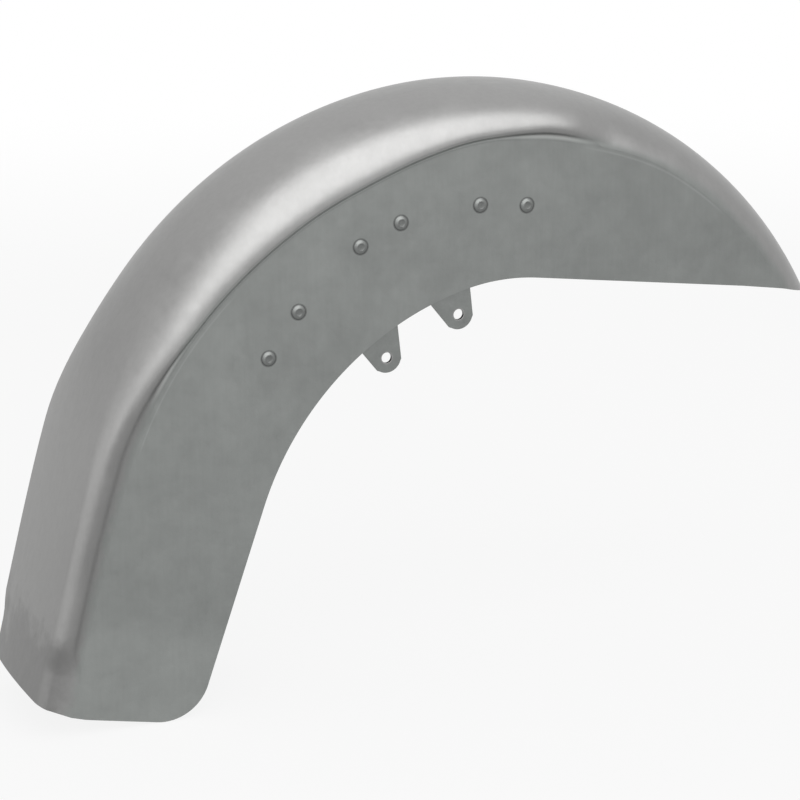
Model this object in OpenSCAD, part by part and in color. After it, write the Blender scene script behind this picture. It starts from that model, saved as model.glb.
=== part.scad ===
// Motorcycle front fender: one raw steel shell with a raised crown over flat
// side skirts, and inside each skirt a riveted bracket with two bolt tabs.
// Lengths are in millimetres. The wheel axle runs along Y through the origin,
// +X points forward on the motorcycle and +Z points up. Side-view points are
// written [x, z], and angles are turned up from straight ahead.

/* [Crest] */
// Radius of the crest line about the wheel axle
crest_radius = 352; // [346:1:360]
// Angle at which the crest leaves its arc for the straight tail
tail_start = 165.7; // [163:0.1:168]

/* [Section] */
// Thickness of the sheet steel
sheet = 1.5; // [1:0.1:2]
// Half the width over the raised crown
crown_half_width = 75; // [71:0.5:79]
// Depth of the step from the crown in to the flat skirt, on each side
step_in = 8; // [5:0.5:11]
// Share of the drop to the widest point that the rounded side takes at the ends
end_side_share = 0.7; // [0.6:0.01:0.8]
// The same share above the fork
top_side_share = 0.55; // [0.5:0.01:0.75]
// Rounding below the widest point, where the crown turns in to the step
turn_radius = 5.5; // [5:0.5:8]
// Rounding in the hollow between the step and the skirt
hollow_radius = 6.5; // [6:0.5:10]
// Drop from the crest to the top of the skirt, along the nose
nose_drop = 34; // [30:0.5:38]
// The same drop at the front end of the step
front_drop = 39.5; // [36:0.5:44]
// The same drop above the fork
top_drop = 51.5; // [48:0.5:57]
// The same drop on the straight tail
tail_drop = 30; // [28:0.5:36]

/* [Step between crown and skirt] */
// Angle at which the step has faded out towards the nose
step_front_end = 72; // [66:1:75]
// Angle at which the step is full depth behind that
step_front_full = 84; // [78:1:90]
// Distance above the tail's end at which the step is still full depth
step_tail_full = 50; // [45:1:70]
// Distance above the tail's end at which the step has faded out
step_tail_end = 20; // [12:1:30]

/* [Side outline] */
// Radius of the wheel cut-out
cutout_radius = 251; // [245:0.5:256]
// Centre of the cut-out ahead of the axle
cutout_forward = 41; // [36:0.5:46]
// Centre of the cut-out below the axle
cutout_below = 49; // [44:0.5:54]
// Depth of the nose's straight edge line inside the cut-out's circle
nose_cut = 6.2; // [4:0.1:10]
// Slope of that edge line, falling forward
nose_slope = 7.1; // [6:0.1:9]
// Rounding between the cut-out and the nose's edge
nose_blend = 170; // [120:5:190]
// Lean of the tail's front edge from upright
tail_lean = 19.2; // [17:0.1:21]
// Depth below the axle of the tail's front lower corner before rounding
tail_depth = 140.5; // [130:0.5:150]
// Slope of the tail's lower edge, falling forward
tail_slope = 11; // [8:0.1:14]
// Rounding of the tail's front lower corner
tail_corner = 38; // [30:1:46]

/* [Trim at the ends] */
// Length of the nose's edge that curves down to the tip
nose_turn_length = 68; // [50:1:90]
// Radius of that curve
nose_turn_radius = 400; // [300:10:500]
// Length of the tail's lower edge that curves up to the crest
tail_turn_length = 51; // [40:1:70]
// Radius of that curve
tail_turn_radius = 103; // [90:1:160]

/* [Rivets] */
// Radius of a rivet's shank
rivet_radius = 3.1; // [2.4:0.1:3.5]
// Clearance round the shank in its holes
rivet_clearance = 0.05; // [0.05:0.05:0.2]
// Radius of the domed head outside the skirt
head_radius = 6.2; // [5.5:0.1:7]
// Height of the domed head
head_height = 2.2; // [1.8:0.1:3]
// Radius of the shallow dish in the head
dish_radius = 3.2; // [2.4:0.1:3.8]
// Depth of the dish
dish_depth = 0.5; // [0.2:0.1:0.8]
// Radius of the upset button inside the bracket
button_radius = 4.6; // [4:0.1:6]
// Height of the upset button
button_height = 2; // [1.5:0.1:3]
// Middle of the rear pair of rivets, [x, z]
rear_pair = [-178, 171];
// Distance between the rear pair's rivets
rear_pair_spacing = 43; // [38:0.5:46]
// Slope of the rear pair
rear_pair_slope = 54; // [45:1:60]
// Middle of the centre pair of rivets, [x, z]
centre_pair = [-96, 244];
// Distance between the centre pair's rivets
centre_pair_spacing = 38; // [34:0.5:44]
// Slope of the centre pair
centre_pair_slope = 25.5; // [20:0.5:30]
// Middle of the front pair of rivets, [x, z]
front_pair = [10, 259.5];
// Distance between the front pair's rivets
front_pair_spacing = 41; // [36:0.5:46]
// Slope of the front pair
front_pair_slope = -4.5; // [-8:0.5:4]

/* [Brackets] */
// Thickness of a bracket's plate
bracket_plate = 3; // [2.5:0.1:4]
// Distance of the rear tab's bolt hole inside the cut-out's edge
tab_reach = 17.6; // [15:0.1:22]
// Direction of that hole from the cut-out's centre
tab_direction = 124.3; // [118:0.1:128]
// Distance from the rear to the front bolt hole
tab_spacing = 69; // [66:0.5:72]
// Slope of the line through both bolt holes
tab_slope = 25.4; // [22:0.2:29]
// Radius of a bolt hole
bolt_hole_radius = 4.35; // [3.2:0.05:5.3]
// Radius of the rounded end of a tab
tab_end_radius = 12.3; // [10:0.1:14]
// Direction of a tab's rear side, from its end up to the skirt
tab_rear_side = 129; // [122:1:134]
// Direction of a tab's front side, from its end up to the skirt
tab_front_side = 96.5; // [92:0.5:100]
// Distance of the bracket's band from the skirt's lower edge
band_setback = 6; // [4:0.5:10]
// Width of the band that joins the tabs
band_width = 30; // [24:1:36]
// Width of the arms that reach up to the rivets
arm_width = 26; // [20:1:32]
// Width of the pad round each pair of rivets
pad_width = 24; // [18:1:30]
// Rounding of the inner corners between band, arms and tabs
bracket_fillet = 8; // [4:1:12]

/* [Hidden] */

$fa = 4;
$fs = 0.4;

// Rows of the shell's surface along the nose, the arc, the tail and its corner
nose_rows = 22;
arc_rows = 20;
tail_rows = 9;
corner_rows = 7;
// Columns of the surface over half the top, the side, the turn, the hollow and
// a skirt
crown_columns = 7;
side_columns = 6;
turn_columns = 3;
hollow_columns = 3;
skirt_columns = 2;
// Crest angles between which the crown grows shallow, deep and shallow again
nose_change = [58, 78];
deepen = [80, 114];
shallow = [122, 184];
// Step that is left where it has faded, so that no facet has zero size
least_step = 0.15;
// Halvings in the search for the place where a row meets a given drop
halvings = 28;

// Faces of the skirt and the bracket on the near side, as half widths
skirt_half_width = crown_half_width - step_in;
skirt_inside = skirt_half_width - sheet;
bracket_inside = skirt_inside - bracket_plate;

function unit(a) = [cos(a), sin(a)];
function ease(t) = let (c = max(0, min(1, t))) c * c * (3 - 2 * c);
function between(t, range) = ease((t - range[0]) / (range[1] - range[0]));

// Corner points of the side outline
cutout_centre = [cutout_forward, -cutout_below];
nose_up = unit(90 - nose_slope);
nose_line = nose_up * cutout_centre + cutout_radius - nose_cut;
blend_gap = cutout_radius - nose_blend;
blend_turn = acos(1 - nose_cut / blend_gap);
blend_end = 90 - nose_slope + blend_turn;
blend_centre = cutout_centre + blend_gap * unit(blend_end);
arc_end = 180 - tail_lean;
tail_top = cutout_centre + cutout_radius * unit(arc_end);
tail_up = unit(90 - tail_lean);
tail_point = tail_top - tail_up * (tail_top[1] + tail_depth) / tail_up[1];
lower_edge_dir = unit(180 - tail_slope);
lower_edge_up = unit(90 - tail_slope);
corner_turn = 90 + tail_slope - tail_lean;
corner_end = tail_point + lower_edge_dir * tail_corner * tan(corner_turn / 2);
corner_height = tail_corner * (1 - cos(corner_turn));
tail_height = (tail_top - corner_end) * lower_edge_up;

// Crest angle where a straight edge line of the given offset meets the arc
nose_angle = 90 - nose_slope - acos(nose_line / crest_radius);
// The crest's own line, which runs on straight past the start of the tail
function crest(a) = a <= tail_start
    ? crest_radius * unit(a)
    : crest_radius * unit(tail_start)
      + crest_radius * (a - tail_start) * PI / 180 * unit(tail_start + 90);
crest_tail = crest_radius * unit(tail_start);
crest_dir = unit(tail_start + 90);
tail_run = ((corner_end - crest_tail) * lower_edge_up) / (crest_dir * lower_edge_up);
tail_angle = tail_start + tail_run / crest_radius * 180 / PI;
// Crest angle a given length of crest before the tail's end
function before_end(length) = tail_angle - length / crest_radius * 180 / PI;

// Distance of a side-view point from the axle, measured as the crest runs
function outward(p) =
    let (a = atan2(p[1], p[0]), turned = a < -90 ? a + 360 : a)
    turned <= tail_start ? norm(p) : p * unit(tail_start);

// Section of the crown
function skirt_drop(a) = nose_drop
    + (front_drop - nose_drop) * between(a, nose_change)
    + (top_drop - front_drop) * between(a, deepen)
    + (tail_drop - top_drop) * between(a, shallow);
function side_share(a) = end_side_share
    + (top_side_share - end_side_share) * (between(a, deepen) - between(a, shallow));
function front_step(a) =
    max(least_step, step_in * between(a, [step_front_end, step_front_full]));
function step_depth(a) = max(least_step, front_step(a)
    * (1 - between(a, [before_end(step_tail_full), before_end(step_tail_end)])));

// Half the crown's section as [half width, drop below the crest, slope]: the
// top's arc, the side's arc down to the widest point, then the turn and the
// hollow down to the top of the skirt
function half_crown(a) =
    let (both = turn_radius + hollow_radius,
         drop = skirt_drop(a) - both * sin(acos(1 - front_step(a) / both)),
         side_radius = side_share(a) * drop,
         step = step_depth(a),
         under = acos(1 - step / both),
         half_width = skirt_half_width + step,
         side_y = half_width - side_radius,
         lean = 2 * atan((drop - side_radius) / side_y),
         top_radius = side_y / sin(lean) + side_radius,
         turn_y = half_width - turn_radius,
         turn_drop = skirt_drop(a) - both * sin(under),
         hollow_y = turn_y + both * cos(under))
    [for (k = [0 : crown_columns - 1])
         let (s = lean * k / crown_columns)
         [top_radius * sin(s), top_radius * (1 - cos(s)), s],
     for (k = [0 : side_columns - 1])
         let (s = mix(lean, 90, k / side_columns))
         [side_y + side_radius * sin(s), drop - side_radius * cos(s), s],
     for (k = [0 : turn_columns - 1])
         let (s = 90 + under * k / turn_columns)
         [turn_y + turn_radius * sin(s), turn_drop - turn_radius * cos(s), s],
     for (k = [0 : hollow_columns])
         let (s = 90 + under * (1 - k / hollow_columns))
         [hollow_y - hollow_radius * sin(s), skirt_drop(a) + hollow_radius * cos(s), s]];
function inner_side(p) = [p[0] - sheet * sin(p[2]), p[1] + sheet * cos(p[2]), p[2]];

// One row of the surface runs from a point on the lower edge to the crest
function row(edge, a, turn_length, turn_radius, turn_share) =
    let (run = crest(a) - edge)
    [edge, atan2(run[1], run[0]), norm(run) - turn_length,
     turn_share / (2 * turn_radius), a];
function row_point(r, q) =
    r[0] + q * unit(r[1]) + r[3] * pow(max(0, q - r[2]), 2) * unit(r[1] - 90);
function reach(r, level, low, high, n) =
    n == 0 ? (low + high) / 2
    : let (mid = (low + high) / 2)
      outward(row_point(r, mid)) < level
      ? reach(r, level, mid, high, n - 1)
      : reach(r, level, low, mid, n - 1);

// The trim curve of each end fades out over these many rows
nose_turn_rows = 9;
tail_turn_rows = 10;
function nose_edge(t) =
    blend_centre + nose_blend * unit(90 - nose_slope + blend_turn * t);
function arc_edge(t) =
    cutout_centre + cutout_radius * unit(blend_end + (arc_end - blend_end) * t);
function tail_edge(height) = height > corner_height
    ? tail_point + tail_up * (height - (tail_point - corner_end) * lower_edge_up)
      / (tail_up * lower_edge_up)
    : let (turned = acos(1 - height / tail_corner))
      corner_end + tail_corner * (1 - cos(turned)) * lower_edge_up
      - tail_corner * sin(turned) * lower_edge_dir;
function mix(low, high, t) = low + (high - low) * t;

// Crest angles at which the nose's fan and the arc's rows end
fan_end = 99;
arc_rows_end = 165;
tail_heights = [
    for (k = [1 : tail_rows]) mix(tail_height, corner_height, k / tail_rows),
    for (k = [1 : corner_rows])
        tail_corner * (1 - cos(corner_turn * (1 - k / corner_rows)))];
last = len(tail_heights);
rows = [
    for (k = [0 : nose_rows - 1])
        row(nose_edge(k / nose_rows), mix(nose_angle, fan_end, k / nose_rows),
            nose_turn_length, nose_turn_radius, 1 - ease(k / nose_turn_rows)),
    for (k = [0 : arc_rows])
        row(arc_edge(k / arc_rows), mix(fan_end, arc_rows_end, k / arc_rows),
            tail_turn_length, tail_turn_radius, 0),
    for (k = [1 : last])
        row(tail_edge(tail_heights[k - 1]),
            mix(tail_angle, arc_rows_end, tail_heights[k - 1] / tail_height),
            tail_turn_length, tail_turn_radius,
            1 - ease((last - k) / tail_turn_rows))];

// One row's points [x, y, z] from the right lower edge over to the left one
function half_row(r, crown) =
    let (far = crest_radius * 1.2,
         low = len(crown) - 1,
         ends = [for (p = crown) reach(r, crest_radius - p[1], 0, far, halvings)])
    [for (k = [0 : skirt_columns - 1])
         [ends[low] * k / skirt_columns, crown[low][0]],
     for (k = [low : -1 : 0]) [ends[k], crown[k][0]]];
function full_row(r, crown) =
    let (half = half_row(r, crown), top = len(half) - 1)
    [for (k = [0 : top])
         let (p = row_point(r, half[k][0])) [p[0], -half[k][1], p[1]],
     for (k = [top - 1 : -1 : 0])
         let (p = row_point(r, half[k][0])) [p[0], half[k][1], p[1]]];

// Closed sheet between an outer and an inner surface of equal rows
module sheet_solid(outer, inner) {
    n = len(outer);
    m = len(outer[0]);
    points = [for (r = outer) each r, for (r = inner) each r];
    function at(side, i, j) = (side * n + i) * m + j;
    faces = [
        for (i = [0 : n - 2], j = [0 : m - 2]) each [
            [at(0, i, j), at(0, i + 1, j), at(0, i + 1, j + 1)],
            [at(0, i, j), at(0, i + 1, j + 1), at(0, i, j + 1)],
            [at(1, i, j), at(1, i + 1, j + 1), at(1, i + 1, j)],
            [at(1, i, j), at(1, i, j + 1), at(1, i + 1, j + 1)]],
        for (i = [0 : n - 2]) each [
            [at(0, i, 0), at(1, i, 0), at(1, i + 1, 0)],
            [at(0, i, 0), at(1, i + 1, 0), at(0, i + 1, 0)],
            [at(0, i, m - 1), at(1, i + 1, m - 1), at(1, i, m - 1)],
            [at(0, i, m - 1), at(0, i + 1, m - 1), at(1, i + 1, m - 1)]],
        for (j = [0 : m - 2]) each [
            [at(0, 0, j), at(0, 0, j + 1), at(1, 0, j + 1)],
            [at(0, 0, j), at(1, 0, j + 1), at(1, 0, j)],
            [at(0, n - 1, j), at(1, n - 1, j + 1), at(0, n - 1, j + 1)],
            [at(0, n - 1, j), at(1, n - 1, j), at(1, n - 1, j + 1)]]];
    polyhedron(points, faces, convexity = 8);
}

// Places of the rivets in the side view
function pair(middle, spacing, slope) =
    [middle - unit(slope) * spacing / 2, middle + unit(slope) * spacing / 2];
rivet_pairs = [
    pair(rear_pair, rear_pair_spacing, rear_pair_slope),
    pair(centre_pair, centre_pair_spacing, centre_pair_slope),
    pair(front_pair, front_pair_spacing, front_pair_slope)];
rear_tab = cutout_centre + (cutout_radius - tab_reach) * unit(tab_direction);
tabs = [rear_tab, rear_tab + tab_spacing * unit(tab_slope)];

// A round hole or bar across the fender between two half widths
module across(p, radius, from, to) {
    translate([p[0], -from, p[1]])
        rotate([-90, 0, 0])
            cylinder(h = from - to, r = radius);
}

module fender_shell() {
    color([0.56, 0.57, 0.56])
        difference() {
            sheet_solid(
                [for (r = rows) full_row(r, half_crown(r[4]))],
                [for (r = rows) full_row(r, [for (p = half_crown(r[4])) inner_side(p)])]);
            for (two = rivet_pairs, p = two)
                across(p, rivet_radius + rivet_clearance,
                       crown_half_width, -crown_half_width);
        }
}

// A bar with round ends between two side-view points
module bar(a, b, width) {
    run = b - a;
    translate(a)
        rotate(atan2(run[1], run[0]))
            translate([0, -width / 2])
                square([norm(run), width]);
    translate(a) circle(d = width, $fa = 12);
    translate(b) circle(d = width, $fa = 12);
}

// A tab hangs below the band with a round end about its bolt hole
module tab(p) {
    rise = band_width + cutout_radius - norm(p - cutout_centre);
    rear = p + tab_end_radius * unit(tab_rear_side + 90);
    front = p + tab_end_radius * unit(tab_front_side - 90);
    translate(p) circle(r = tab_end_radius, $fa = 8);
    polygon([p, rear, rear + rise * unit(tab_rear_side),
             front + rise * unit(tab_front_side), front]);
}

// The band follows the cut-out behind the skirt's lower edge
module band() {
    inner = cutout_radius + band_setback;
    outer = inner + band_width;
    spread = [for (p = tabs) atan2(p[1] - cutout_centre[1], p[0] - cutout_centre[0])];
    ends = [spread[1] - 3, spread[0] + 5];
    translate(cutout_centre)
        polygon([for (a = [ends[0] : (ends[1] - ends[0]) / 12 : ends[1]]) outer * unit(a),
                 for (a = [ends[1] : (ends[0] - ends[1]) / 12 : ends[0]]) inner * unit(a)]);
}

// Each arm leaves the band at the point nearest to its pair of rivets
module arms() {
    root = cutout_radius + band_setback + band_width / 2;
    spread = [for (p = tabs) atan2(p[1] - cutout_centre[1], p[0] - cutout_centre[0])];
    for (two = rivet_pairs) {
        middle = (two[0] + two[1]) / 2;
        run = middle - cutout_centre;
        a = max(spread[1] + 1, min(spread[0], atan2(run[1], run[0])));
        bar(cutout_centre + root * unit(a), middle, arm_width);
        bar(two[0], two[1], pad_width);
    }
}

module bracket_outline() {
    offset(r = -bracket_fillet, $fa = 12, $fs = 1.5)
        offset(delta = bracket_fillet) {
            band();
            arms();
            for (p = tabs) tab(p);
        }
}

module bracket() {
    difference() {
        translate([0, -bracket_inside, 0])
            rotate([90, 0, 0])
                linear_extrude(bracket_plate)
                    bracket_outline();
        for (p = tabs)
            across(p, bolt_hole_radius, skirt_half_width, bracket_inside - sheet);
        for (two = rivet_pairs, p = two)
            across(p, rivet_radius + rivet_clearance,
                   skirt_half_width, bracket_inside - sheet);
    }
}

module bracket_right() {
    color([0.50, 0.51, 0.50]) bracket();
}

module bracket_left() {
    color([0.50, 0.51, 0.50]) mirror([0, 1, 0]) bracket();
}

// A rivet stands on its button, with its shank up through the bracket and the
// skirt and its domed head on top
module rivet() {
    grip = skirt_half_width - bracket_inside;
    dome = (head_radius * head_radius + head_height * head_height) / (2 * head_height);
    sweep = asin(head_radius / dome);
    start = asin(dish_radius / dome);
    dish_top = head_height - dome * (1 - cos(start));
    rotate_extrude()
        polygon([
            [0, -button_height],
            [button_radius - 0.5, -button_height],
            [button_radius, 0.5 - button_height],
            [button_radius, 0],
            [rivet_radius, 0],
            [rivet_radius, grip],
            [head_radius, grip],
            for (k = [1 : 6])
                let (a = mix(sweep, start, k / 6))
                [dome * sin(a), grip + head_height - dome * (1 - cos(a))],
            [dish_radius * 0.6, grip + dish_top - dish_depth * 0.8],
            [0, grip + dish_top - dish_depth]]);
}

module rivets() {
    for (two = rivet_pairs, p = two)
        translate([p[0], -bracket_inside, p[1]])
            rotate([90, 0, 0])
                rivet();
}

module rivets_right() {
    color([0.45, 0.46, 0.45]) rivets();
}

module rivets_left() {
    color([0.45, 0.46, 0.45]) mirror([0, 1, 0]) rivets();
}

fender_shell();
bracket_right();
bracket_left();
rivets_right();
rivets_left();
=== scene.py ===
# %% [markdown]
# # A motorcycle's front fender in raw steel
# The real fender is pressed from one sheet of steel and sold bare, so that the
# buyer can paint it. Everything that shows is bare metal: the raised crown,
# the flat skirts, twelve rivet heads, and the tabs of two brackets that are
# riveted inside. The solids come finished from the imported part. This script
# sweeps the shell again more finely, dresses the other pieces, and gives them
# all real-looking steel, a studio and a camera.

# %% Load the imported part
import math

import bpy
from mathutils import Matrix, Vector


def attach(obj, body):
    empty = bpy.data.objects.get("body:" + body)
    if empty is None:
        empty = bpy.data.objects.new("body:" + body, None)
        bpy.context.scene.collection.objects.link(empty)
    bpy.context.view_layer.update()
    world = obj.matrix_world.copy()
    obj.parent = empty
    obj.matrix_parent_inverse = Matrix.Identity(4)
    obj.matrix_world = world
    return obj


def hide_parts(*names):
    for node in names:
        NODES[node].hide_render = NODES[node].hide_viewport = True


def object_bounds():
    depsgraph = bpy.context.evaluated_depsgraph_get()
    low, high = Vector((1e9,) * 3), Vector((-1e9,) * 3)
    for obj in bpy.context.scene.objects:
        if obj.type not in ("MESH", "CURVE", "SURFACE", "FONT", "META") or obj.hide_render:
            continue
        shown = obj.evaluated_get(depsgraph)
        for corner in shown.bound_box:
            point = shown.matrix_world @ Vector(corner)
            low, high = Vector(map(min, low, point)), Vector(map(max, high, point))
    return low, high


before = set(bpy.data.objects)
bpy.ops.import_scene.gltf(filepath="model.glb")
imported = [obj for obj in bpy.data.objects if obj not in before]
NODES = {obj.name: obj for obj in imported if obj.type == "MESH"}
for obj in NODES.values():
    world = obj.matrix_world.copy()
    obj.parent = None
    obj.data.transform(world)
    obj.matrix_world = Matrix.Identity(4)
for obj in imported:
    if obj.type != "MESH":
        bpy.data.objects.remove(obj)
SOLID_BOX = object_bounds()
print("solids:", sorted(NODES))

# %% [markdown]
# The part's sizes are repeated here, in metres, where the looks need them. The
# wheel axle is at the origin, +X is forward and +Z is up. The crest is an arc
# about the axle that runs straight on into the tail. The skirt starts at a line
# some way below the crest: LINE gives that depth for some angles of the crest.

# %% Sizes that the looks need
CREST = 0.352
TAIL_START = 165.7
LINE = (
    (58, 0.0340), (78, 0.0395), (86, 0.0410), (114, 0.0525), (122, 0.0525), (182, 0.0350),
)
HEAD = 0.0062
BOLT_HOLE = 0.00435
RIVET_PAIRS = (
    ((-0.178, 0.171), 0.043, 54.0),
    ((-0.096, 0.244), 0.038, 25.5),
    ((0.010, 0.2595), 0.041, -4.5),
)
TAB_HOLES = ((-0.090527, 0.143811), (-0.028197, 0.173408))


def rivet_places():
    """Both rivets of each pair, as side-view points."""
    places = []
    for (x, z), spacing, slope in RIVET_PAIRS:
        turned = math.radians(slope)
        across, up = math.cos(turned) * spacing / 2, math.sin(turned) * spacing / 2
        places += [(x - across, z - up), (x + across, z + up)]
    return places


print("rivets at", [(round(x, 3), round(z, 3)) for x, z in rivet_places()])

# %% [markdown]
# Shader maths reads best as ordinary sums. A small wrapper holds one socket of
# a material, and plus, minus, times and so on add the Math nodes. Every other
# node comes from one method, which takes its kind, its settings and what goes
# into its sockets.


# %% A wrapper for shader sockets
class Flow:
    def __init__(self, tree, socket=None):
        self.tree = tree
        self.socket = socket

    def node(self, kind, settings, inputs, out=0):
        made = self.tree.nodes.new(kind)
        for name, value in settings.items():
            setattr(made, name, value)
        for name, value in inputs.items():
            if isinstance(value, Flow):
                self.tree.links.new(value.socket, made.inputs[name])
            else:
                made.inputs[name].default_value = value
        return Flow(self.tree, made.outputs[out])

    def also(self, out):
        """Another output of the node that this socket belongs to."""
        return Flow(self.tree, self.socket.node.outputs[out])

    def maths(self, operation, *values):
        return self.node("ShaderNodeMath", {"operation": operation}, dict(enumerate(values)))

    def __add__(self, other):
        return self.maths("ADD", self, other)

    def __sub__(self, other):
        return self.maths("SUBTRACT", self, other)

    def __mul__(self, other):
        return self.maths("MULTIPLY", self, other)

    def __radd__(self, other):
        return self.maths("ADD", other, self)

    def __rsub__(self, other):
        return self.maths("SUBTRACT", other, self)

    def __rmul__(self, other):
        return self.maths("MULTIPLY", other, self)

    def rise(self, low, high):
        """0 below low, 1 above high, and a soft slope between."""
        span = {"From Min": low, "From Max": high, "Value": self}
        return self.node("ShaderNodeMapRange", {"interpolation_type": "SMOOTHSTEP"}, span)

    def ridge(self, centre, half_width):
        """1 on a line and 0 further from it than half_width."""
        return 1 - self.maths("ABSOLUTE", self - centre).rise(0.0, half_width)

    def window(self, start, end, soft):
        """1 between two places and 0 outside them."""
        return self.rise(start - soft, start) * (1 - self.rise(end, end + soft))

    def blend(self, under, over):
        """A colour that goes from under to over as this mask goes from 0 to 1."""
        sockets = {"Factor": self, 6: under, 7: over}
        return self.node("ShaderNodeMix", {"data_type": "RGBA"}, sockets, 2)

    def tints(self, colour):
        """A colour made lighter or darker by this number."""
        return self.node("ShaderNodeVectorMath", {"operation": "SCALE"}, {0: colour, "Scale": self})


# %% [markdown]
# A new material starts with a wrapper on its node tree and its Principled
# shader set to bare metal. The patterns read Object coordinates, so they stay
# in the steel when the part moves.


# %% Start a bare-metal material
def bare_metal(name, colour, roughness):
    material = bpy.data.materials.new(name)
    material.use_nodes = True
    shader = material.node_tree.nodes["Principled BSDF"]
    shader.inputs["Metallic"].default_value = 1.0
    shader.inputs["Base Color"].default_value = (*colour, 1.0)
    shader.inputs["Roughness"].default_value = roughness
    flow = Flow(material.node_tree)
    return material, shader, flow.node("ShaderNodeTexCoord", {}, {}, "Object")


def feed(shader, name, flow):
    """Let a varying value or colour drive one of the shader's sockets."""
    flow.tree.links.new(flow.socket, shader.inputs[name])


def patches(place, size, stretch=(1.0, 1.0, 1.0), detail=4.0, rough=0.55):
    """Cloudy patches about size metres across, as values round 0."""
    mapped = place.node("ShaderNodeMapping", {}, {"Vector": place, "Scale": stretch})
    settings = {"Vector": mapped, "Scale": 1.0 / size, "Detail": detail, "Roughness": rough}
    return place.node("ShaderNodeTexNoise", {}, settings) - 0.5


def dents(place, height, depth, strength):
    """Normals that are tilted as if the steel had this height map."""
    sockets = {"Height": height, "Distance": depth, "Strength": strength}
    return place.node("ShaderNodeBump", {}, sockets)


# %% [markdown]
# Marks round a rivet or a hole need the distance from its middle in the side
# view. The coordinates are flattened first, so one value serves both sides.


# %% Distance from the nearest of some side-view points
def nearest(place, points):
    flat = place.node("ShaderNodeVectorMath", {"operation": "MULTIPLY"},
                      {0: place, 1: (1.0, 0.0, 1.0)})
    found = None
    for x, z in points:
        gap = flat.node("ShaderNodeVectorMath", {"operation": "DISTANCE"},
                        {0: flat, 1: (x, 0.0, z)}, "Value")
        found = gap if found is None else found.maths("MINIMUM", found, gap)
    return found


# %% [markdown]
# Wear on a pressing follows its shape. These sums find, for any point, its
# angle along the crest and how far it lies below the line where the skirt
# starts, which is below zero on the crown.


# %% Place along the crest and below the skirt's line
def crest_measures(place):
    x = place.node("ShaderNodeSeparateXYZ", {}, {"Vector": place}, "X")
    z = x.also("Z")
    turn = math.radians(TAIL_START)
    out = x * math.cos(turn) + z * math.sin(turn)
    down = z * math.cos(turn) - x * math.sin(turn)
    on_tail = down.maths("GREATER_THAN", down, 0.0)
    radius = (x * x + z * z).maths("SQRT", x * x + z * z)
    depth = CREST - (on_tail * out + (1 - on_tail) * radius)
    angle = 180.0 - x.maths("ARCTAN2", z, -1.0 * x) * (180.0 / math.pi)
    straight = TAIL_START + down * (180.0 / math.pi / CREST)
    along = on_tail * straight + (1 - on_tail) * angle
    line = LINE[0][1]
    for (start, low), (end, high) in zip(LINE, LINE[1:]):
        line = along.rise(start, end) * (high - low) + line
    return along, depth, depth - line


# %% [markdown]
# ## The camera
# The photograph was taken from the fender's right, a little from behind and
# from above, with a long lens. The numbers come from laying the crest's circle
# and the rivets over the picture.

# %% Camera
AZIMUTH = math.radians(-22.98)
ELEVATION = math.radians(15.41)
DISTANCE = 2.15109
AIM = Vector((-0.05136, 0.0, 0.08828))
SENSOR_WIDTH = 36.0
PICTURE_WIDTH, FOCAL_PIXELS = 800, 2600.13


def direction(azimuth, elevation):
    """From the fender towards a place in the room; azimuth 0 is its right side."""
    return Vector((
        math.sin(azimuth) * math.cos(elevation),
        -math.cos(azimuth) * math.cos(elevation),
        math.sin(elevation),
    ))


back = direction(AZIMUTH, ELEVATION)
bpy.ops.object.camera_add(location=AIM + back * DISTANCE)
camera = bpy.context.object
camera.rotation_euler = back.to_track_quat("Z", "Y").to_euler()
camera.data.sensor_width = SENSOR_WIDTH
camera.data.lens = FOCAL_PIXELS / PICTURE_WIDTH * SENSOR_WIDTH
camera.data.clip_start = 0.01
camera.data.clip_end = 50.0
bpy.context.scene.camera = camera
bpy.context.scene.view_settings.view_transform = "Standard"
print("camera at", [round(v, 3) for v in camera.location])

# %% [markdown]
# ## The studio
# Satin steel shows its surroundings more than itself, so the room is the
# finish. White surroundings give the plain grey of the skirts. The light that
# a painted part would get is weaker than that white, so that it stays plain.

# %% World
world = bpy.data.worlds.new("studio")
bpy.context.scene.world = world
world.use_nodes = True
sky = Flow(world.node_tree)
WORLD_FILL = 0.62
WORLD_SHOWN = 1.0
to_camera = sky.node("ShaderNodeLightPath", {}, {}, "Is Camera Ray")
shown = to_camera.maths("MAXIMUM", to_camera, to_camera.also("Is Glossy Ray"))
shown = shown.maths("MAXIMUM", shown, to_camera.also("Is Transmission Ray"))
air = world.node_tree.nodes["Background"]
air.inputs["Color"].default_value = (1.0, 1.0, 1.0, 1.0)
feed(air, "Strength", shown * (WORLD_SHOWN - WORLD_FILL) + WORLD_FILL)

# %% [markdown]
# One big softbox in front and above draws the bright band along the crown. It
# is two lamps in one place. A weak one lights anything matt at a plain level,
# and a strong one is seen only in reflections, where a softbox is much
# brighter than the room. A pale card low on the left lifts the tail's crown,
# and another one overhead lifts the crest.


# %% Lamps
LAMP_DISTANCE = 3.2


def soft_lamp(name, azimuth, elevation, size, glow, mirrored):
    """A flat lamp that is seen only in mirrored light, or else only in matt light."""
    way = direction(math.radians(azimuth), math.radians(elevation))
    bpy.ops.object.light_add(type="AREA", location=AIM + way * LAMP_DISTANCE)
    lamp = bpy.context.object
    lamp.name = name
    lamp.rotation_euler = way.to_track_quat("Z", "Y").to_euler()
    lamp.data.shape = "RECTANGLE"
    lamp.data.size, lamp.data.size_y = size
    lamp.data.energy = glow * math.pi * size[0] * size[1]
    lamp.visible_diffuse = not mirrored
    lamp.visible_glossy = mirrored


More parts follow.
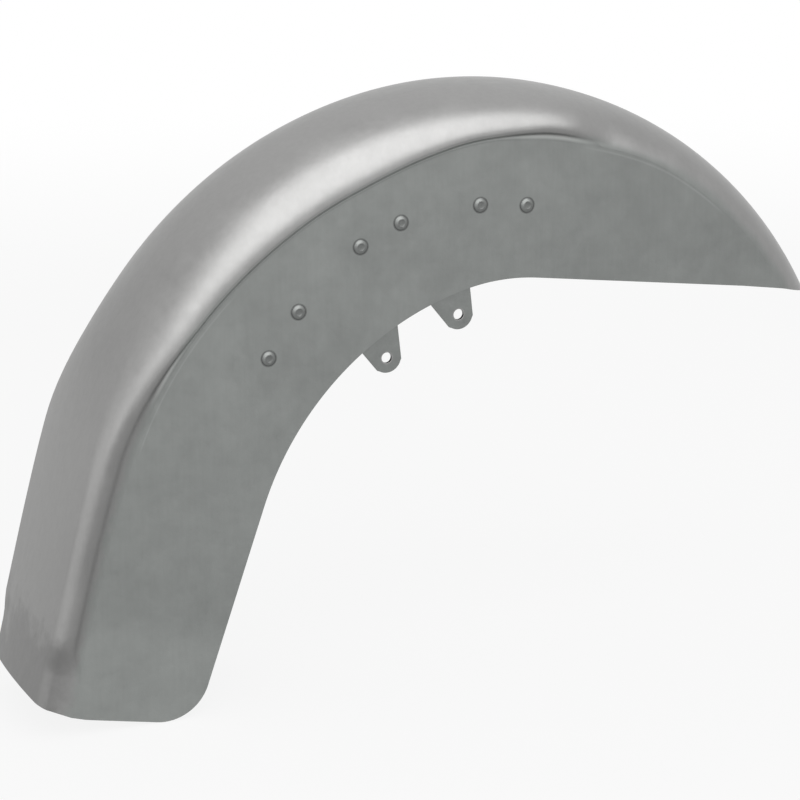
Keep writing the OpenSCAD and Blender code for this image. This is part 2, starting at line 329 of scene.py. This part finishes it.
soft_lamp("softbox_light", 0.0, 44.0, (3.4, 3.4), 1.1, False)
soft_lamp("softbox_seen", -1.5, 46.0, (4.05, 4.6), 2.2, True)
soft_lamp("tail_card", -64.0, 9.0, (4.0, 2.4), 0.45, True)
soft_lamp("ceiling_card", -2.0, 105.0, (5.0, 5.0), 0.18, True)

# %% [markdown]
# ## The floor
# A pale floor lies just under the tail's end. For the camera it is lifted to
# white and keeps a soft shadow, the steel sees it nearly as white, and further
# out it fades into the white room, so that no horizon shows.

# %% Floor
FLOOR_SIZE, FLOOR_GAP = 12.0, 0.0005
FLOOR_PAINT = (0.74, 0.74, 0.74, 1.0)
LIFT_FOR_CAMERA, LIFT_FOR_STEEL = 0.87, 0.6
FADE_START, FADE_END = 1.2, 3.0

bpy.ops.object.select_all(action="DESELECT")
bpy.ops.mesh.primitive_plane_add(
    size=FLOOR_SIZE, location=(0.0, 0.0, SOLID_BOX[0][2] - FLOOR_GAP))
floor = bpy.context.object
floor.name = "floor"
bpy.ops.object.transform_apply(location=True, rotation=True, scale=True)
paint = bpy.data.materials.new("pale_floor")
paint.use_nodes = True
matte = paint.node_tree.nodes["Principled BSDF"]
matte.inputs["Base Color"].default_value = FLOOR_PAINT
matte.inputs["Roughness"].default_value = 1.0
matte.inputs["Specular IOR Level"].default_value = 0.0
body = Flow(paint.node_tree, matte.outputs[0])
seen = body.node("ShaderNodeLightPath", {}, {}, "Is Camera Ray")
lift = seen * LIFT_FOR_CAMERA + seen.also("Is Glossy Ray") * LIFT_FOR_STEEL
lit = body.node("ShaderNodeEmission", {}, {"Color": (1, 1, 1, 1), "Strength": 1.0})
lifted = body.node("ShaderNodeMixShader", {}, {0: lift, 1: body, 2: lit})
ground = body.node("ShaderNodeTexCoord", {}, {}, "Object")
radius = body.node("ShaderNodeVectorMath", {"operation": "LENGTH"}, {0: ground}, "Value")
clear = body.node("ShaderNodeBsdfTransparent", {}, {})
fade = radius.rise(FADE_START, FADE_END)
faded = body.node("ShaderNodeMixShader", {}, {0: fade, 1: lifted, 2: clear})
feed(paint.node_tree.nodes["Material Output"], "Surface", faded)
floor.data.materials.append(paint)
print("floor at", round(SOLID_BOX[0][2] - FLOOR_GAP, 4))

# %% [markdown]
# ## Broken edges and smooth faces
# A sheared edge is never knife-sharp: a narrow bevel breaks it, so that it
# catches the light. A bevel narrows itself beside very short edges. The shell
# has such edges, and its bevel comes out at almost nothing. Light runs smoothly
# over the faces, only real corners stay sharp, and broad faces outweigh their
# narrow neighbours.


# %% Break a piece's edges and make it smooth
BROKEN_EDGE = 0.0003
EDGE_ANGLE = math.radians(55.0)
SHARP_ANGLE = math.radians(38.0)


def apply(piece, kind, **settings):
    """Add a modifier with these settings to a piece and apply it."""
    modifier = piece.modifiers.new(kind.lower(), kind)
    for name, value in settings.items():
        setattr(modifier, name, value)
    bpy.ops.object.modifier_apply(modifier=modifier.name)


def finish_faces(piece):
    apply(piece, "BEVEL", width=BROKEN_EDGE, segments=2, limit_method="ANGLE",
          angle_limit=EDGE_ANGLE)
    bpy.ops.object.shade_smooth_by_angle(angle=SHARP_ANGLE)
    apply(piece, "WEIGHTED_NORMAL", keep_sharp=True)
    print(piece.name, len(piece.data.polygons), "faces")


# %% [markdown]
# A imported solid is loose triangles, and it is never changed itself. The
# brackets and the rivets have the right shape, so each gets a copy whose
# triangles are merged into whole faces.


# %% Copy a solid and merge its triangles
SAME_PLACE = 0.00001
SAME_FACE = math.radians(0.3)


def dressed_copy(node, name):
    bpy.ops.object.select_all(action="DESELECT")
    copy = bpy.data.objects.new(name, NODES[node].data.copy())
    bpy.context.scene.collection.objects.link(copy)
    bpy.context.view_layer.objects.active = copy
    copy.select_set(True)
    bpy.ops.object.mode_set(mode="EDIT")
    bpy.ops.mesh.select_all(action="SELECT")
    bpy.ops.mesh.remove_doubles(threshold=SAME_PLACE)
    bpy.ops.mesh.dissolve_limited(angle_limit=SAME_FACE)
    bpy.ops.object.mode_set(mode="OBJECT")
    finish_faces(copy)
    copy.data.materials.clear()
    return copy


# %% [markdown]
# ## The shell's shape
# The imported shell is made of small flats, and its step is alike all along. On
# the real pressing the step is low and tight above the fork, where the crown
# overhangs it, and wide and soft on the tail. So the shell is swept again, with
# more rows, from a section that changes along the crest. Small tables give, for
# some crest angles, the step's height, the radii of its two rounds, and how far
# the crown is a quarter of an ellipse instead of a flat top with a round side.
# Down the tail the step fades out between two distances.
#
# Two small lengths keep the mesh sound. The step never quite vanishes, so that
# its columns don't fall together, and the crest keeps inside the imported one,
# whose flats cut the corners of its arc.

# %% The section's changes along the crest
HALF_SKIRT = 0.067
SHEET = 0.0015
FLAT_SIDE_SHARE = 0.7
STEP = (
    (69, 0.0), (77.5, 0.0060), (92, 0.0055), (104, 0.0050), (140, 0.0050), (168, 0.0080),
)
TURN = ((79, 0.0060), (90, 0.0038), (142, 0.0038), (164, 0.0150))
HOLLOW = ((79, 0.0080), (90, 0.0040), (142, 0.0040), (164, 0.0180))
OVAL = ((140, 1.0), (172, 0.0))
STEP_FADE = (0.146, 0.168)
LEAST_STEP = 0.00003
CREST_DROP = 0.00003


def ease(share):
    """A soft slope from 0 to 1."""
    share = max(0.0, min(1.0, share))
    return share * share * (3.0 - 2.0 * share)


def at_angle(table, angle):
    """A table's value at a crest angle, with soft changes between its rows."""
    value = table[0][1]
    for (start, low), (end, high) in zip(table, table[1:]):
        value += (high - low) * ease((angle - start) / (end - start))
    return value


print("step at the fork:", round(at_angle(STEP, 120), 4), "on the tail:", at_angle(STEP, 170))

# %% [markdown]
# Half a section is a row of points, each with its half width and its depth
# below the crest. It runs over the crown to the widest point, turns in, and
# goes through the hollow to the top of the flat skirt. The flat crown is a wide
# arc over the top that meets a smaller one at the side.

# %% Half of the crown's section
CROWN_COLUMNS, STEP_COLUMNS = 26, 7


def crown_point(share, width, drop, oval):
    """The crown at a share of the way from the crest to the widest point."""
    t = share * math.pi / 2
    ellipse = (width * math.sin(t), drop * (1.0 - math.cos(t)))
    side = FLAT_SIDE_SHARE * drop
    lean = 2.0 * math.atan((drop - side) / (width - side))
    if share < 0.5:
        top = (width - side) / math.sin(lean) + side
        t = 2.0 * share * lean
        flat = (top * math.sin(t), top * (1.0 - math.cos(t)))
    else:
        t = lean + (2.0 * share - 1.0) * (math.pi / 2 - lean)
        flat = (width - side + side * math.sin(t), drop - side * math.cos(t))
    return tuple(low + oval * (high - low) for low, high in zip(flat, ellipse))


def half_section(angle):
    turn, hollow, line = (at_angle(table, angle) for table in (TURN, HOLLOW, LINE))
    tail = CREST * math.radians(angle - TAIL_START)
    fade = 1.0 - ease((tail - STEP_FADE[0]) / (STEP_FADE[1] - STEP_FADE[0]))
    full = max(LEAST_STEP, at_angle(STEP, angle))
    step = max(LEAST_STEP, at_angle(STEP, angle) * fade)
    full_under, under = (math.acos(1.0 - size / (turn + hollow)) for size in (full, step))
    width = HALF_SKIRT + step
    drop = line - (turn + hollow) * math.sin(full_under)
    turn_drop = line - (turn + hollow) * math.sin(under)
    points = [crown_point(k / CROWN_COLUMNS, width, drop, at_angle(OVAL, angle))
              for k in range(CROWN_COLUMNS)]
    for k in range(STEP_COLUMNS):
        t = under * k / STEP_COLUMNS
        points.append((width - turn * (1.0 - math.cos(t)), turn_drop + turn * math.sin(t)))
    for k in range(STEP_COLUMNS + 1):
        t = under * (1.0 - k / STEP_COLUMNS)
        points.append((HALF_SKIRT + hollow * (1.0 - math.cos(t)), line - hollow * math.sin(t)))
    return points


print("half a section has", len(half_section(90.0)), "points")


# %% [markdown]
# The side outline has the cut-out's arc, the nose's nearly straight edge and
# the tail's two straight edges with a round corner. Each row of the surface
# starts on that edge and runs to the crest. The last rows at the nose and the
# tail bend, which gives the trimmed ends their curve: a bend is how long it is
# and its radius.

# %% The side outline
CUTOUT, CENTRE = 0.251, (0.041, -0.049)
NOSE_SLOPE, NOSE_CUT, NOSE_BLEND = 7.1, 0.0062, 0.170
TAIL_LEAN, TAIL_DEPTH, TAIL_SLOPE, TAIL_CORNER = 19.2, 0.1405, 11.0, 0.038
NOSE_BEND, TAIL_BEND = (0.068, 0.400), (0.051, 0.103)
FAN_END, ARC_END = 99.0, 165.0


def unit(degrees):
    return Vector((math.cos(math.radians(degrees)), math.sin(math.radians(degrees))))


def mix(low, high, share):
    return low + (high - low) * share


centre = Vector(CENTRE)
nose_turn = math.degrees(math.acos(1.0 - NOSE_CUT / (CUTOUT - NOSE_BLEND)))
blend_centre = centre + (CUTOUT - NOSE_BLEND) * unit(90 - NOSE_SLOPE + nose_turn)
nose_line = unit(90 - NOSE_SLOPE) @ centre + CUTOUT - NOSE_CUT
nose_angle = 90 - NOSE_SLOPE - math.degrees(math.acos(nose_line / CREST))
arc_start, arc_end = 90 - NOSE_SLOPE + nose_turn, 180 - TAIL_LEAN
tail_top, tail_up = centre + CUTOUT * unit(arc_end), unit(90 - TAIL_LEAN)
tail_point = tail_top - tail_up * ((tail_top.y + TAIL_DEPTH) / tail_up.y)
low_way, low_up = unit(180 - TAIL_SLOPE), unit(90 - TAIL_SLOPE)
corner_turn = 90 + TAIL_SLOPE - TAIL_LEAN
corner_end = tail_point + low_way * TAIL_CORNER * math.tan(math.radians(corner_turn / 2))
crest_end, crest_way = CREST * unit(TAIL_START), unit(TAIL_START + 90)
tail_run = ((corner_end - crest_end) @ low_up) / (crest_way @ low_up)
tail_angle = TAIL_START + math.degrees(tail_run / CREST)
print("nose at", round(nose_angle, 1), "and tail's end at", round(tail_angle, 1), "degrees")


# %% [markdown]
# Rows are listed from the nose to the tail as their start, the crest angle
# they run to, and how they bend: fully at the very end, and less and less over
# the rows beside it.

# %% Rows of the surface
NOSE_ROWS, ARC_ROWS, TAIL_ROWS, CORNER_ROWS = 48, 44, 22, 16
NOSE_BENT_SHARE = 9 / 22
TAIL_BENT_ROWS = 23


def crest_point(angle):
    if angle <= TAIL_START:
        return CREST * unit(angle)
    return crest_end + crest_way * (CREST * math.radians(angle - TAIL_START))


rows = []
for k in range(NOSE_ROWS):
    t = k / NOSE_ROWS
    start = blend_centre + NOSE_BLEND * unit(90 - NOSE_SLOPE + nose_turn * t)
    rows.append((start, mix(nose_angle, FAN_END, t), NOSE_BEND, 1 - ease(t / NOSE_BENT_SHARE)))
for k in range(ARC_ROWS + 1):
    t = k / ARC_ROWS
    start = centre + CUTOUT * unit(mix(arc_start, arc_end, t))
    rows.append((start, mix(FAN_END, ARC_END, t), TAIL_BEND, 0.0))


def corner_height(degrees):
    """How far above the tail's end its round corner is after turning so far."""
    return TAIL_CORNER * (1 - math.cos(math.radians(degrees)))


full_height = (tail_top - corner_end) @ low_up
corner_top = corner_height(corner_turn)
heights = [mix(full_height, corner_top, (k + 1) / TAIL_ROWS) for k in range(TAIL_ROWS)]
heights += [corner_height(corner_turn * (1 - (k + 1) / CORNER_ROWS)) for k in range(CORNER_ROWS)]
for k, height in enumerate(heights, 1):
    if height > corner_top:
        climb = height - (tail_point - corner_end) @ low_up
        start = tail_point + tail_up * (climb / (tail_up @ low_up))
    else:
        turned = math.acos(max(-1.0, 1 - height / TAIL_CORNER))
        start = corner_end + height * low_up - TAIL_CORNER * math.sin(turned) * low_way
    bent = 1 - ease((len(heights) - k) / TAIL_BENT_ROWS)
    rows.append((start, mix(tail_angle, ARC_END, height / full_height), TAIL_BEND, bent))
print(len(rows), "rows")

# %% [markdown]
# A point of the section lies on its row where the row is as deep below the
# crest as the section says. Depth falls along a row, so that place is found by
# halving. The left half mirrors the right one.

# %% Points along a row
SKIRT_COLUMNS = 6
FARTHEST = 1.2 * CREST
HALVINGS = 26


def depth_below_crest(point):
    on_tail = point @ crest_way > 0
    return CREST - (point @ unit(TAIL_START) if on_tail else point.length)


def row_points(start, angle, bend, share):
    run = crest_point(angle) - start
    way, length = run.normalized(), run.length
    aside = Vector((way.y, -way.x))
    bend_length, bend_radius = bend

    def place(q):
        bent = max(0.0, q - length + bend_length)
        return start + way * q + aside * (share * bent ** 2 / (2 * bend_radius))

    def reach(depth):
        low, high = 0.0, FARTHEST
        for _ in range(HALVINGS):
            middle = (low + high) / 2
            deeper = depth_below_crest(place(middle)) > depth
            low, high = (middle, high) if deeper else (low, middle)
        return low

    section = [(width, reach(max(depth, CREST_DROP))) for width, depth in half_section(angle)]
    skirt_top = section[-1][1]
    half = [(HALF_SKIRT, skirt_top * k / SKIRT_COLUMNS) for k in range(SKIRT_COLUMNS)]
    half += section[::-1]
    right = [(place(q), -width) for width, q in half]
    left = [(side_view, -y) for side_view, y in right[-2::-1]]
    return [(side_view.x, y, side_view.y) for side_view, y in right + left]


places = [row_points(*row) for row in rows]
across = len(places[0])
print("points:", len(places), "rows of", across)

# %% [markdown]
# A flat grid is added with a line for each row and each column, and every
# corner of it is carried to its place. The faces are turned outwards, and the
# sheet then gets its thickness inwards.

# %% Carry a grid to its place on the fender
bpy.ops.object.select_all(action="DESELECT")
bpy.ops.mesh.primitive_grid_add(
    x_subdivisions=len(rows) - 1, y_subdivisions=across - 1, size=1.0)
shell = bpy.context.object
shell.name = "shell"
for vertex in shell.data.vertices:
    i = round((vertex.co.x + 0.5) * (len(rows) - 1))
    j = round((vertex.co.y + 0.5) * (across - 1))
    vertex.co = places[i][j]
bpy.ops.object.mode_set(mode="EDIT")
bpy.ops.mesh.select_all(action="SELECT")
bpy.ops.mesh.normals_make_consistent(inside=False)
bpy.ops.object.mode_set(mode="OBJECT")
outwards = sum(face.normal @ face.center * face.area for face in shell.data.polygons)
print("the grid's faces point", "out" if outwards > 0 else "in")
if outwards < 0:
    shell.data.flip_normals()
apply(shell, "SOLIDIFY", thickness=SHEET, offset=-1.0, use_even_offset=True)
finish_faces(shell)

# %% [markdown]
# ## The shell's steel
# The sheet is as-rolled on the skirts, cool and even with a faint upright
# grain, and stretched and rubbed on the crown, where it is warmer and shinier.
# On the tail the rubbed part ends raggedly beside the step. Hands and oil leave
# cloudy patches a few centimetres wide, and painted shade darkens the tail's
# corner.

# %% Patterns on the shell
SKIRT_STEEL = (0.242, 0.252, 0.245)
CROWN_STEEL = (0.272, 0.271, 0.268)
SHEET_ROUGHNESS = 0.37
steel, shader, place = bare_metal("raw_steel_sheet", SKIRT_STEEL, SHEET_ROUGHNESS)
shell.data.materials.append(steel)
along, depth, below = crest_measures(place)
clouds = patches(place, 0.05)
blots = patches(place, 0.014, detail=5.0, rough=0.62)
grain = patches(place, 0.0035, (1.0, 1.0, 0.10), 3.0)
speckle = patches(place, 0.005, detail=3.0)
tail = along.rise(160.0, 172.0)
print("patterns: clouds, blots, grain, speckle")

# %% [markdown]
# The masks are built one by one. The crown's rub stops at the skirt's line, in
# a ragged edge on the tail. Painted shade darkens the tail's corner, painted
# light makes the tail's crown paler, and painted shade dims the highlight on
# the flank beside the step. A thin painted highlight lies on the skirt just
# beside the step, along the die's crease, where the step is deepest and where
# it fades. Painted light lifts the shade in the hollow of the step. Painted
# shade darkens the front of the skirt, painted light makes its foot paler, and
# a painted shadow rings the rivets' heads.

# %% Masks on the shell
rubbed = 1 - (below + clouds * 0.012 + blots * tail * 0.022).rise(-0.010, -0.001)
# Painted shade: the crown at the tail's corner is darkened, with a ragged edge.
corner = (along + clouds * 16.0 + blots * 8.0).rise(187.0, 192.5)
corner = corner * (1 - (depth + blots * 0.02).rise(0.010, 0.030))
# Painted light: the tail's crown is made paler.
tail_crown_painted_light = along.rise(150.0, 168.0) * (1 - below.rise(-0.036, -0.020))
# Painted shade: the flank beside the step on the tail is darkened over its highlight.
tail_flank_painted_shade = below.ridge(-0.021, 0.011) * along.window(148.0, 178.0, 7.0)
# Painted highlight: a thin bright line on the skirt beside the step, along the die's crease.
die_crease_highlight = below.ridge(0.0028, 0.0012) * along.window(140.0, 160.0, 5.0)
die_crease_highlight = die_crease_highlight + below.ridge(0.0010, 0.0014) * along.window(52.0, 71.0, 5.0)
# Painted light: the hollow of the step is made much lighter against its shade.
hollow = below.ridge(-0.0036, 0.0030) * along.window(78.0, 150.0, 8.0)
# Painted shade: the front of the skirt is darker.
skirt_front_painted_shade = (1 - along.rise(58.0, 125.0)) * (1 - rubbed)
# Painted light: the skirt's foot at the tail is paler.
skirt_foot_painted_light = along.rise(183.0, 190.0) * (1 - rubbed)
# Painted shadow: a dark ring on the skirt round each rivet's head.
rivet_painted_shadow = nearest(place, rivet_places()).ridge(HEAD + 0.0002, 0.0008)
coarse = along.rise(138.0, 156.0)
print("masks: crown, tail, die line, hollow, skirt, rings")

# %% [markdown]
# Each mark makes the steel lighter or darker by its own share. The clouds and
# blots also change the roughness, which is what breaks up the bright band on
# the crown, and the tail is rougher than the rest.

# %% Colour, gloss and small dents of the shell
# Of these marks, the tail's corner, its flank, the skirt's front and the rings round the rivets are
# painted shade, the tail's crown, the hollow and the skirt's foot are painted light, and the die
# line is a painted highlight.
SHADES = (
    (clouds, 0.16), (blots, 0.10), (grain, 0.09), (speckle, 0.07),
    (corner, -0.22), (tail_crown_painted_light, 0.14), (tail_flank_painted_shade, -0.13),
    (die_crease_highlight, 0.13), (hollow, 0.75),
    (skirt_front_painted_shade, -0.07), (skirt_foot_painted_light, 0.15), (rivet_painted_shadow, -0.40),
)
ROUGHER = ((rubbed, 0.03), (coarse, 0.10), (clouds, 0.18), (blots, 0.26))
DENT_DEPTH, DENT_STRENGTH = 0.0012, 0.35

tone = sum((mark * share for mark, share in SHADES), 1)
colour = rubbed.blend((*SKIRT_STEEL, 1.0), (*CROWN_STEEL, 1.0))
feed(shader, "Base Color", tone.tints(colour))
feed(shader, "Roughness", sum((mark * share for mark, share in ROUGHER), SHEET_ROUGHNESS))
bumps = clouds + blots * 0.30 + grain * 0.06
feed(shader, "Normal", dents(place, bumps, DENT_DEPTH, DENT_STRENGTH))
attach(shell, "root")
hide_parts("fender_shell")

# %% [markdown]
# ## The brackets
# The brackets are thicker plate than the shell, sheared to shape and duller.
# Punching has rubbed a thin bright ring round each bolt hole.

# %% Brackets
PLATE_STEEL = (0.208, 0.217, 0.211)
PLATE_ROUGHNESS = 0.42
plate, shader, place = bare_metal("raw_steel_plate", PLATE_STEEL, PLATE_ROUGHNESS)
stains = patches(place, 0.012)
scale = patches(place, 0.0025, detail=3.0)
punched = nearest(place, TAB_HOLES).ridge(BOLT_HOLE + 0.0004, 0.0009)
bare = punched.blend((*PLATE_STEEL, 1.0), (*CROWN_STEEL, 1.0))
feed(shader, "Base Color", (1 + stains * 0.26 + scale * 0.16).tints(bare))
feed(shader, "Roughness", PLATE_ROUGHNESS + stains * 0.16)
feed(shader, "Normal", dents(place, stains + scale * 0.3, 0.0003, 0.4))
for side in ("right", "left"):
    piece = dressed_copy("bracket_" + side, "bracket_plate_" + side)
    piece.data.materials.append(plate)
    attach(piece, "root")
    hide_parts("bracket_" + side)

# %% [markdown]
# ## The rivets
# A rivet's head is set with a hollow punch, which leaves a shallow dish. A
# painted highlight rings the dish, and painted shade darkens the dish and the
# head's rim, where it meets the skirt. The soft steel of rivets is darker and
# duller than the sheet.

# %% Rivets
RIVET_STEEL = (0.170, 0.176, 0.172)
RIVET_ROUGHNESS = 0.44
SHADED_RIM, DISH_EDGE, HIGHLIGHT_RADIUS = 0.0011, 0.0026, 0.0042
dull_steel, shader, place = bare_metal("rivet_steel", RIVET_STEEL, RIVET_ROUGHNESS)
away = nearest(place, rivet_places())
marks = patches(place, 0.003, detail=5.0)
# Painted highlight: a lighter ring on the head round its dish.
head_painted_highlight = away.ridge(HIGHLIGHT_RADIUS, 0.0015)
# Painted shade: the head's rim, where it meets the skirt, is darkened.
rim_painted_shade = away.rise(HEAD - SHADED_RIM, HEAD - 0.0002)
# Painted shade: the dish in the middle of the head is darkened.
dish_painted_shade = 1 - away.rise(DISH_EDGE, 0.0034)
tone = 1 + marks * 0.45 + head_painted_highlight * 0.15 - rim_painted_shade * 0.5 - dish_painted_shade * 0.12
feed(shader, "Base Color", tone.tints(RIVET_STEEL))
feed(shader, "Roughness", RIVET_ROUGHNESS + marks * 0.2)
for side in ("right", "left"):
    piece = dressed_copy("rivets_" + side, "rivet_heads_" + side)
    piece.data.materials.append(dull_steel)
    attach(piece, "root")
    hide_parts("rivets_" + side)
